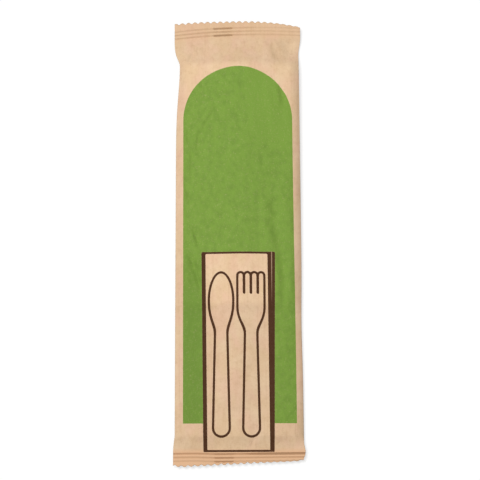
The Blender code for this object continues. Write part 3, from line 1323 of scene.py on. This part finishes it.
class SealTree:
    """Geometry Nodes tree that presses the crimp ribs and pinks the cut edges.

    It reads numbers stored on the paper: how far a point lies into a seal and from the cut
    edge, which way that end points, how hard the jaws press there with the painted shadow at
    the foot's inner rib added, and where and how deeply the edge is pinked. It stores the
    press for the material, which darkens the grooves by it, partly as paper browned by the
    jaws and partly as painted shade.
    """

    INPUTS = {
        "Rib Pitch": "NodeSocketFloat",
        "Rib Depth": "NodeSocketFloat",
        "Rib Count": "NodeSocketInt",
        "Rib Sharpness": "NodeSocketFloat",
        "Deepest Press": "NodeSocketFloat",
        "Tooth Pitch": "NodeSocketFloat",
        "Tooth Depth": "NodeSocketFloat",
        "Tooth Fade": "NodeSocketFloat",
        "Tooth Roundness": "NodeSocketFloat",
        "Seed": "NodeSocketFloat",
        "Material": "NodeSocketMaterial",
    }

    # Teeth differ in depth, from the shallowest one's share upwards.
    UNEVEN = Grain(160.0, 1.0)
    SHALLOWEST = 0.55
    VARIATION = 0.9

    def __init__(self) -> None:
        """Build the tree once, for every sheet of paper that is sealed."""
        self.tree = bpy.data.node_groups.new("seal_and_pink", "GeometryNodeTree")
        self.tree.is_modifier = True
        face = self.tree.interface
        face.new_socket("Geometry", in_out="INPUT", socket_type="NodeSocketGeometry")
        self.identifiers = {
            name: face.new_socket(name, in_out="INPUT", socket_type=kind).identifier
            for name, kind in self.INPUTS.items()
        }
        face.new_socket("Geometry", in_out="OUTPUT", socket_type="NodeSocketGeometry")
        self._wire()

    @staticmethod
    def _stored(graph: NodeGraph, name: str) -> Socket:
        """Number stored on the mesh under a name."""
        node = graph.add("GeometryNodeInputNamedAttribute", {"Name": name}, data_type="FLOAT")
        return node.outputs["Attribute"]

    @staticmethod
    def _wave(graph: NodeGraph, distance: Socket, pitch: Socket) -> Socket:
        """Round wave from 0 at each whole pitch to 1 halfway between.

        Args:
            graph: Graph of the tree.
            distance: Distance over which the wave runs.
            pitch: Length of one wave.

        Returns:
            The wave's socket.
        """
        turns = graph.math("DIVIDE", distance, pitch)
        cosine = graph.math("COSINE", graph.math("MULTIPLY", turns, math.tau))
        return graph.math("MULTIPLY_ADD", cosine, -0.5, 0.5)

    def _press(self, graph: NodeGraph, given: bpy.types.NodeOutputs) -> Socket:
        """The press at each point, in narrow grooves, with the painted shadow at the foot's inner
        rib.

        Args:
            graph: Graph of the tree.
            given: The tree's own inputs.

        Returns:
            The pressure's socket.
        """
        into = self._stored(graph, "seal_run")
        band = graph.math("MULTIPLY", given["Rib Pitch"], given["Rib Count"])
        inside = graph.math("GREATER_THAN", into, 0.0)
        inside = graph.math("MULTIPLY", inside, graph.math("LESS_THAN", into, band))
        wave = self._wave(graph, into, given["Rib Pitch"])
        rib = graph.math("POWER", wave, given["Rib Sharpness"])
        rib = graph.math("MULTIPLY", rib, inside)
        return graph.math("MULTIPLY", rib, self._stored(graph, "press_and_shadow_marks"))

    def _pink(self, graph: NodeGraph, given: bpy.types.NodeOutputs) -> Socket:
        """How far each point near a cut edge is drawn in, to leave the teeth standing.

        Args:
            graph: Graph of the tree.
            given: The tree's own inputs.

        Returns:
            The socket of the distance, signed by the end.
        """
        place = graph.add("GeometryNodeInputPosition").outputs[0]
        inputs = {"Vector": place, "W": given["Seed"],
                  "Scale": self.UNEVEN.cells, "Detail": self.UNEVEN.detail}
        uneven = graph.add("ShaderNodeTexNoise", inputs, noise_dimensions="4D").outputs[0]
        vary = graph.math("MULTIPLY_ADD", uneven, self.VARIATION, self.SHALLOWEST)
        tooth = self._wave(graph, self._stored(graph, "tooth_x"), given["Tooth Pitch"])
        tooth = graph.math("POWER", tooth, given["Tooth Roundness"])
        tooth = graph.math("MULTIPLY", tooth, given["Tooth Depth"])
        near = graph.math("DIVIDE", self._stored(graph, "edge_run"), given["Tooth Fade"])
        fade = graph.math("SUBTRACT", 1.0, near, clamp=True)
        depth = graph.math("MULTIPLY", graph.math("MULTIPLY", tooth, fade), vary)
        depth = graph.math("MULTIPLY", depth, self._stored(graph, "tooth_share"))
        return graph.math("MULTIPLY", depth, self._stored(graph, "outward"))

    def _wire(self) -> None:
        """Lay out the tree's nodes."""
        graph = NodeGraph(self.tree)
        given = graph.add("NodeGroupInput").outputs
        press_and_shade = self._press(graph, given)
        depth = graph.math("MINIMUM", press_and_shade, given["Deepest Press"])
        sink = graph.minus(graph.math("MULTIPLY", depth, given["Rib Depth"]))
        draw_in = graph.minus(self._pink(graph, given))
        offset = graph.add("ShaderNodeCombineXYZ", {"Y": draw_in, "Z": sink}).outputs[0]
        # The stored press darkens the grooves in the material: paper browned by the jaws, and
        # painted shade.
        mark = {"Geometry": given["Geometry"], "Name": "press_and_shade", "Value": press_and_shade}
        stored = {"data_type": "FLOAT", "domain": "POINT"}
        paper = graph.add("GeometryNodeStoreNamedAttribute", mark, **stored).outputs[0]
        move = {"Geometry": paper, "Offset": offset}
        paper = graph.add("GeometryNodeSetPosition", move).outputs[0]
        paper = graph.add("GeometryNodeRealizeInstances", {"Geometry": paper}).outputs[0]
        dress = {"Geometry": paper, "Material": given["Material"]}
        paper = graph.add("GeometryNodeSetMaterial", dress).outputs[0]
        graph.add("NodeGroupOutput", {"Geometry": paper})

    def apply(self, sheet: bpy.types.Object, values: dict[str, object]) -> bpy.types.Object:
        """Press and pink a sheet, and turn the result into a plain mesh.

        Args:
            sheet: The object whose mesh carries the stored numbers.
            values: Value of each of the tree's inputs, by name.

        Returns:
            The same object with its finished mesh and no modifier.
        """
        modifier = sheet.modifiers.new("seal", "NODES")
        modifier.node_group = self.tree
        for name, value in values.items():
            modifier[self.identifiers[name]] = value
        depsgraph = bpy.context.evaluated_depsgraph_get()
        finished = bpy.data.meshes.new_from_object(sheet.evaluated_get(depsgraph))
        sheet.modifiers.clear()
        rough = sheet.data
        sheet.data = finished
        bpy.data.meshes.remove(rough)
        finished.name = sheet.name
        return sheet


@dataclass
class Sheet:
    """A closed skin of paper given as a grid: rows from head to foot, and a ring across.

    Attributes:
        name: Name of the piece.
        x: Positions across, by row and by place in the ring.
        y: Positions along, likewise.
        z: Heights, likewise.
        numbers: Named numbers to store on the mesh, likewise.
    """

    name: str
    x: Grid
    y: Grid
    z: Grid
    numbers: dict[str, Grid]

    def build(self) -> bpy.types.Object:
        """Make the mesh object, closed at both ends.

        Returns:
            The object, linked to the scene.
        """
        rows, ring = self.x.shape
        points = np.stack([self.x, self.y, self.z], axis=-1).reshape(-1, 3)
        index = np.arange(rows * ring).reshape(rows, ring)
        following = np.roll(index, -1, axis=1)
        quads = np.stack([index[:-1], following[:-1], following[1:], index[1:]], axis=-1)
        quads = quads.reshape(-1, 4)
        caps = np.concatenate([self._cap(index[0])[:, ::-1], self._cap(index[-1])])
        mesh = bpy.data.meshes.new(self.name)
        mesh.from_pydata(points.tolist(), [], np.concatenate([quads, caps]).tolist())
        mesh.shade_smooth()
        for name, values in self.numbers.items():
            stored = mesh.attributes.new(name, "FLOAT", "POINT")
            stored.data.foreach_set("value", values.astype(np.float32).ravel())
        mesh.update()
        return link_object(self.name, mesh)

    @staticmethod
    def _cap(ring: Grid) -> Grid:
        """Close the end of the skin.

        Args:
            ring: Point numbers around a flattened ring.

        Returns:
            Quads that join the ring's front to its back.
        """
        half = len(ring) // 2
        front = ring[:half]
        back = ring[half:][::-1]
        return np.stack([front[:-1], front[1:], back[1:], back[:-1]], axis=-1)


@dataclass
class Wrapper:
    """The paper wrapper: front, sides and back as one skin, sealed at both ends."""

    form: PacketForm
    fall: PaperFall
    artwork: Print

    # Steps of the mesh
    front_steps: int = 154
    edge_steps: int = 3
    seal_rows: int = 33
    slope_row: float = 0.55 * MM
    body_row: float = 0.93 * MM
    head_knee_room: float = 4 * MM
    foot_knee_room: float = 3 * MM

    # Teeth get blunter towards the right
    blunting: float = 0.6
    blunt_x: float = 10 * MM
    blunt_run: float = 12 * MM

    # Lift of the left edge, sink of the right one, and the corner that dips
    left_lift_head: float = 1.90 * MM
    left_lift_foot: float = 1.20 * MM
    right_sink_head: float = -1.20 * MM
    right_sink_foot: float = 1.05 * MM
    corner_dip: float = 3.4 * MM
    corner_dip_start_x: float = 13 * MM
    corner_dip_run: float = 26 * MM
    corner_dip_y: float = 90 * MM
    corner_dip_reach: float = 6.5 * MM
    left_power: int = 6
    right_power: int = 12

    # Curl of the seals, waves, and how creases calm down beside seals and sides
    head_curl: float = 0.5 * MM
    head_curl_run: float = 18 * MM
    head_curl_right: float = 0.3
    foot_curl: float = 0.3 * MM
    foot_curl_run: float = 12 * MM
    left_curl_x: float = 12 * MM
    right_curl_x: float = 4 * MM
    edge_wave_share: float = 0.4
    seal_wave_share: float = 0.8
    calm_run: float = 2.8 * MM
    calm_power: int = 10
    backing_behind: float = 0.5

    def rows(self) -> tuple[Grid, Grid]:
        """Positions of the rows.

        Returns:
            Each row's station, and how far into a seal it lies, from 0 on the body to 1 at
            the head's cut edge or -1 at the foot's.
        """
        form = self.form
        into = np.linspace(0, 1, self.seal_rows + 1)[1:]
        head_fill = form.head_fill_y - self.head_knee_room
        foot_fill = form.foot_fill_y + self.foot_knee_room
        slope = self._steps(form.head_seal_y, head_fill, self.slope_row)
        body = self._steps(head_fill, foot_fill, self.body_row)[1:]
        foot_slope = self._steps(foot_fill, form.foot_seal_y, self.slope_row)[1:]
        head = form.head_seal_y + into[::-1] * (form.length / 2 - form.head_seal_y)
        foot = form.foot_seal_y - into * (form.length / 2 + form.foot_seal_y)
        station = np.concatenate([head, slope, body, foot_slope, foot])
        inner = len(slope) + len(body) + len(foot_slope)
        return station, np.concatenate([into[::-1], np.zeros(inner), -into])

    @staticmethod
    def _steps(start: float, end: float, pitch: float) -> Grid:
        """Even positions from start to end, about a pitch apart."""
        return np.linspace(start, end, round(abs(end - start) / pitch) + 1)

    def place_rows(self, x: Grid) -> tuple[Grid, Grid, dict[str, Grid]]:
        """Lay the rows along the packet, and measure how each point lies to the seals.

        Args:
            x: Positions across, by row.

        Returns:
            Each point's station and y, and the numbers that the sealing tree reads.
        """
        form = self.form
        station, share = (np.broadcast_to(row[:, None], x.shape) for row in self.rows())
        head_inner = form.head_seal_y + form.row_shift(x, np.full_like(x, form.head_seal_y))
        foot_inner = form.foot_seal_y + form.row_shift(x, np.full_like(x, form.foot_seal_y))
        head_cut = form.cut_line(x, End.HEAD)
        foot_cut = form.cut_line(x, End.FOOT)
        y = station + form.row_shift(x, station)
        y = np.where(share > 0, head_inner + share * (head_cut - head_inner), y)
        y = np.where(share < 0, foot_inner - share * (foot_cut - foot_inner), y)
        at_head = y > 0
        seal_run = np.maximum(y - head_inner, foot_inner - y)
        numbers = {
            "seal_run": seal_run,
            "edge_run": np.minimum(head_cut - y, y - foot_cut),
            "outward": np.sign(y),
            "press_and_shadow_marks": form.press_and_shadow_marks(x, seal_run, at_head),
            "tooth_x": x - np.where(at_head, form.head_tooth_x, form.foot_tooth_x),
            "tooth_share": 1 - self.blunting * ease((x - self.blunt_x) / self.blunt_run),
            "backing": form.backing(x, y),
        }
        return station, y, numbers

    def level(self, x: Grid, y: Grid, spread: Grid) -> Grid:
        """Height of the side edges and of the seals.

        The left edge stands higher than the right one, the seals' corners curl up a little,
        and the paper dips at the upper right corner.

        Args:
            x: Positions across the packet.
            y: Positions along the packet.
            spread: Distance from the middle as a share of the half width.

        Returns:
            Height above the floor.
        """
        form = self.form
        slack = 1 - form.fill(y)
        right = ease((x - self.right_curl_x) / (form.seal_width / 2))
        left = ease((-x - self.left_curl_x) / (form.seal_width / 2))
        head = self.head_curl * (left + self.head_curl_right * right)
        head *= ease((y - form.head_fill_y) / self.head_curl_run)
        foot = self.foot_curl * right * ease((form.foot_fill_y - y) / self.foot_curl_run)
        wave = self.fall.edge_wave.field(x, y)
        wave *= self.edge_wave_share * spread**self.left_power + self.seal_wave_share * slack
        along = form.along(y)
        sink = between(self.right_sink_head, self.right_sink_foot, along)
        rise = between(self.left_lift_head, self.left_lift_foot, along)
        side = np.where(x < 0, rise * spread**self.left_power, -sink * spread**self.right_power)
        lift = side * form.fill(y)
        dip = self.corner_dip * ease((x - self.corner_dip_start_x) / self.corner_dip_run)
        dip *= bell(y - self.corner_dip_y, self.corner_dip_reach)
        return form.side_height + slack * (head + foot) + wave + lift - dip

    def ring(self, station: Grid) -> tuple[Grid, Grid, Grid, Grid]:
        """Positions across of one ring for each row.

        Args:
            station: Each row's station.

        Returns:
            x by row and place in the ring, the half width on that side, the share of the
            edge's rounding that is left there, and 1 for the front or -1 for the back.
        """
        # The front runs from left to right, and the back from right to left. At each side
        # the skin rounds by a quarter turn up to the front and another down to the back.
        form = self.form
        right = form.half_width(station, True)[:, None]
        left = form.half_width(station, False)[:, None]
        rounding = form.edge_half_height(station)[:, None]
        turn = np.linspace(0, math.pi / 2, self.edge_steps + 1)[1:]
        inset = rounding * (1 - np.sin(turn))
        across = np.linspace(-1, 1, self.front_steps + 1)[None, :]
        middle = across * (np.where(across < 0, left, right) - rounding)
        front = np.concatenate([inset[:, ::-1] - left, middle, right - inset[:, :-1]], axis=1)
        back = np.concatenate([right - inset[:, -1:], front[:, 1:][:, ::-1]], axis=1)
        x = np.concatenate([front, back], axis=1)
        fall = np.cos(turn)
        lift = np.concatenate([fall[::-1], np.ones(across.size), fall[:-1]])
        lift = np.concatenate([lift, [0.0], lift[1:][::-1]])
        side = np.repeat([1.0, -1.0], [front.shape[1], back.shape[1]])
        half = np.where(x < 0, left, right)
        return x, half, np.broadcast_to(lift, x.shape), np.broadcast_to(side, x.shape)

    def sheet(self) -> Sheet:
        """Work out the whole skin.

        Returns:
            The skin as a grid with its stored numbers.
        """
        form = self.form
        x, half, lift, side = self.ring(self.rows()[0])
        station, y, numbers = self.place_rows(x)
        spread = np.abs(x) / half
        rising = np.minimum(np.abs(x) / (half - form.lip), 1.0)
        calm = (1 - spread**self.calm_power) * ease(-numbers["seal_run"] / self.calm_run)
        level = self.level(x, y, spread)
        edge = form.edge_half_height(station) * lift
        front = level + edge + form.front_rise(x, station, rising)
        front += self.fall.height(x, y) * calm
        back = form.back_height(x, station, half, level - edge)
        on_front = side > 0
        shapes = self.artwork.measure(x, y)
        away = form.length
        numbers |= {name: np.where(on_front, run, away) for name, run in shapes.items()}
        numbers["backing"] = np.where(on_front, numbers["backing"], self.backing_behind)
        numbers["crease_wear"] = np.where(on_front, self.fall.wear(x, y) * calm, 0.0)
        return Sheet("packet_wrapper", x, y, np.where(on_front, front, back), numbers)


@dataclass
class FinSeam:
    """The fin seam: two plies glued together and folded flat along the back."""

    wrapper: Wrapper
    steps: int = 18
    knurl_pitch: float = 1.25 * MM
    knurl_depth: float = 0.06 * MM
    clearance: float = 0.02 * MM
    knurl_power: int = 8

    def sheet(self) -> Sheet:
        """Work out the seam as a thin closed strip under the back's paper.

        Returns:
            The strip as a grid with its stored numbers.
        """
        form = self.wrapper.form
        offsets = np.linspace(-form.fin_width / 2, form.fin_width / 2, self.steps + 1)
        across = np.concatenate([offsets, offsets[::-1]]) + form.fin_centre_x
        x = np.broadcast_to(across, (len(self.wrapper.rows()[0]), len(across)))
        under = np.repeat([0.0, 1.0], self.steps + 1)
        station, y, numbers = self.wrapper.place_rows(x)
        half = form.half_width(station, False)
        level = self.wrapper.level(x, y, np.abs(x) / half)
        edge = level - form.edge_half_height(station)
        paper = form.back_height(x, station, half, edge)
        beside = np.abs((x - form.fin_centre_x) / (form.fin_width / 2))
        middle = 1 - beside**self.knurl_power
        knurl = self.knurl_depth * (1 + np.cos(math.tau * y / self.knurl_pitch)) / 2
        thickness = form.fin_thickness - self.clearance - knurl * middle
        numbers |= {shape.value: np.full_like(x, form.length) for shape in Shape}
        numbers["crease_wear"] = np.zeros_like(x)
        return Sheet("fin_seam", x, y, paper - self.clearance - under * thickness, numbers)


@dataclass
class Packet:
    """The whole packet: builds its pieces, dresses them and hands them to the frame."""

    form: PacketForm
    tooth_fade: float = 1.6 * MM
    tooth_roundness: float = 1.5
    rib_sharpness: float = 3.0
    deepest_press: float = 1.5
    seed: float = 4.0

    def build(self) -> list[bpy.types.Object]:
        """Make both pieces.

        Returns:
            The finished objects.
        """
        form = self.form
        artwork = Print()
        wrapper = Wrapper(form, PaperFall.from_photo(), artwork)
        tree = SealTree()
        values = {
            "Rib Pitch": form.crimp_pitch,
            "Rib Depth": form.crimp_depth,
            "Rib Count": form.crimp_count,
            "Rib Sharpness": self.rib_sharpness,
            "Deepest Press": self.deepest_press,
            "Tooth Pitch": form.tooth_pitch,
            "Tooth Depth": form.tooth_depth,
            "Tooth Fade": self.tooth_fade,
            "Tooth Roundness": self.tooth_roundness,
            "Seed": self.seed,
            "Material": PrintedKraft(artwork).build(),
        }
        pieces = []
        for sheet in (wrapper.sheet(), FinSeam(wrapper).sheet()):
            piece = tree.apply(sheet.build(), values)
            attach(piece, BODY)
            pieces.append(piece)
        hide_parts(NODE)
        return pieces


@dataclass(frozen=True)
class PaleFloor:
    """Matt pale floor that shows white to the eye and keeps a soft shadow.

    For the eye alone, it glows by what the lit floor lacks to be white.

    Attributes:
        key_place: Place of the key light.
        key_level: Light level on the floor under the key light.
        ambient: Light level of the surroundings.
        white: Level that shows as white.
        albedo: Share of the light that the floor throws back.
    """

    key_place: Triple
    key_level: float
    ambient: float
    white: float
    albedo: float = 0.36

    def build(self) -> bpy.types.Material:
        """Make the material.

        Returns:
            The material.
        """
        material, graph, shader = NodeGraph.of_material("pale_floor")
        graph.feed(shader["Base Color"], rgba((self.albedo,) * 3))
        graph.feed(shader["Roughness"], 1.0)
        graph.feed(shader["Specular IOR Level"], 0.0)
        graph.feed(shader["Emission Color"], rgba(WHITE))
        glow = graph.math("MULTIPLY", graph.seen_by_eye(), self._missing_light(graph))
        graph.feed(shader["Emission Strength"], glow)
        return material

    def _missing_light(self, graph: NodeGraph) -> Socket:
        """What the lit floor lacks to be white, which grows away from the key light.

        Args:
            graph: Graph of the material.

        Returns:
            The socket of the missing light.
        """
        place = graph.add("ShaderNodeTexCoord").outputs["Object"]
        x, y, height = self.key_place
        away = graph.add("ShaderNodeVectorMath", {0: place, 1: (x, y, 0.0)}, operation="DISTANCE")
        # Under a flat lamp the light fades with the fourth power of the slant's cosine.
        spread = graph.math("POWER", away.outputs["Value"], 2.0)
        spread = graph.math("DIVIDE", spread, height**2)
        fading = graph.math("POWER", graph.math("ADD", spread, 1.0), -2.0)
        steady = self.white - self.albedo * self.ambient
        return graph.math("MULTIPLY_ADD", fading, -self.albedo * self.key_level, steady)


@dataclass
class Studio:
    """Pale floor, soft light and the camera at the photograph's viewing angle.

    Light levels are shares of the level at which a colour renders as it is written.
    """

    camera_distance: float = 0.800
    camera_tilt: float = 10.2
    camera_roll: float = -0.25
    focal_pixels: float = 1720.0
    image_pixels: float = 480.0
    sensor: float = 36.0
    clip: Pair = (0.01, 20.0)
    target: Triple = (0.0008, 0.0001, 0.0)
    floor_half: float = 3.0
    white: float = 1.03
    ambient: float = 0.30
    key_place: Triple = (-0.34, 0.20, 1.30)
    key_size: float = 0.50
    key_level: float = 0.89

    def floor(self) -> None:
        """Lay the floor."""
        half = self.floor_half
        corners = [(-half, -half, 0), (half, -half, 0), (half, half, 0), (-half, half, 0)]
        mesh = bpy.data.meshes.new("floor")
        mesh.from_pydata(corners, [], [(0, 1, 2, 3)])
        finish = PaleFloor(self.key_place, self.key_level, self.ambient, self.white)
        mesh.materials.append(finish.build())
        piece = link_object("floor", mesh)

    def world(self) -> None:
        """Even white surroundings: full white to the eye, softer as a light."""
        world = bpy.data.worlds.new("studio")
        bpy.context.scene.world = world
        world.use_nodes = True
        graph = NodeGraph(world.node_tree)
        background = world.node_tree.nodes["Background"].inputs
        graph.feed(background["Color"], rgba(WHITE))
        extra = self.white - self.ambient
        strength = graph.math("MULTIPLY_ADD", graph.seen_by_eye(), extra, self.ambient)
        graph.feed(background["Strength"], strength)

    def key(self) -> None:
        """One soft box above the head end, a little to the left."""
        place = Vector(self.key_place)
        lamp = bpy.data.lights.new("soft_box", "AREA")
        lamp.shape = "SQUARE"
        lamp.size = self.key_size
        # This power gives the floor right under the box the light level that is asked for.
        lamp.energy = self.key_level * math.pi**2 * place.z**2
        link_object("soft_box", lamp).location = place

    def camera(self) -> None:
        """Camera above the packet, leaned towards its foot."""
        data = bpy.data.cameras.new("camera")
        data.sensor_width = self.sensor
        data.lens = self.sensor * self.focal_pixels / self.image_pixels
        data.clip_start, data.clip_end = self.clip
        holder = link_object("camera", data)
        tilt = Matrix.Rotation(math.radians(self.camera_tilt), 4, "X")
        roll = Matrix.Rotation(math.radians(self.camera_roll), 4, "Z")
        back = (tilt @ Vector((0, 0, 1, 0))).to_3d() * self.camera_distance
        place = Matrix.Translation(Vector(self.target) + back)
        holder.matrix_world = place @ tilt @ roll
        bpy.context.scene.camera = holder

    def build(self) -> None:
        """Set up the whole studio."""
        self.camera()
        self.floor()
        self.world()
        self.key()
        bpy.context.scene.view_settings.view_transform = "Standard"


def main() -> None:
    """Build the packet and the studio, and report each piece."""
    logging.basicConfig(level=logging.INFO, format="%(name)s: %(message)s")
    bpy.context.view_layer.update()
    low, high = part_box(NODE)
    form = PacketForm(length=high.y - low.y, seal_width=high.x - low.x)
    Studio().build()
    for piece in Packet(form).build():
        log.info("%s: %d faces", piece.name, len(piece.data.polygons))


if __name__ == "__main__":
    main()
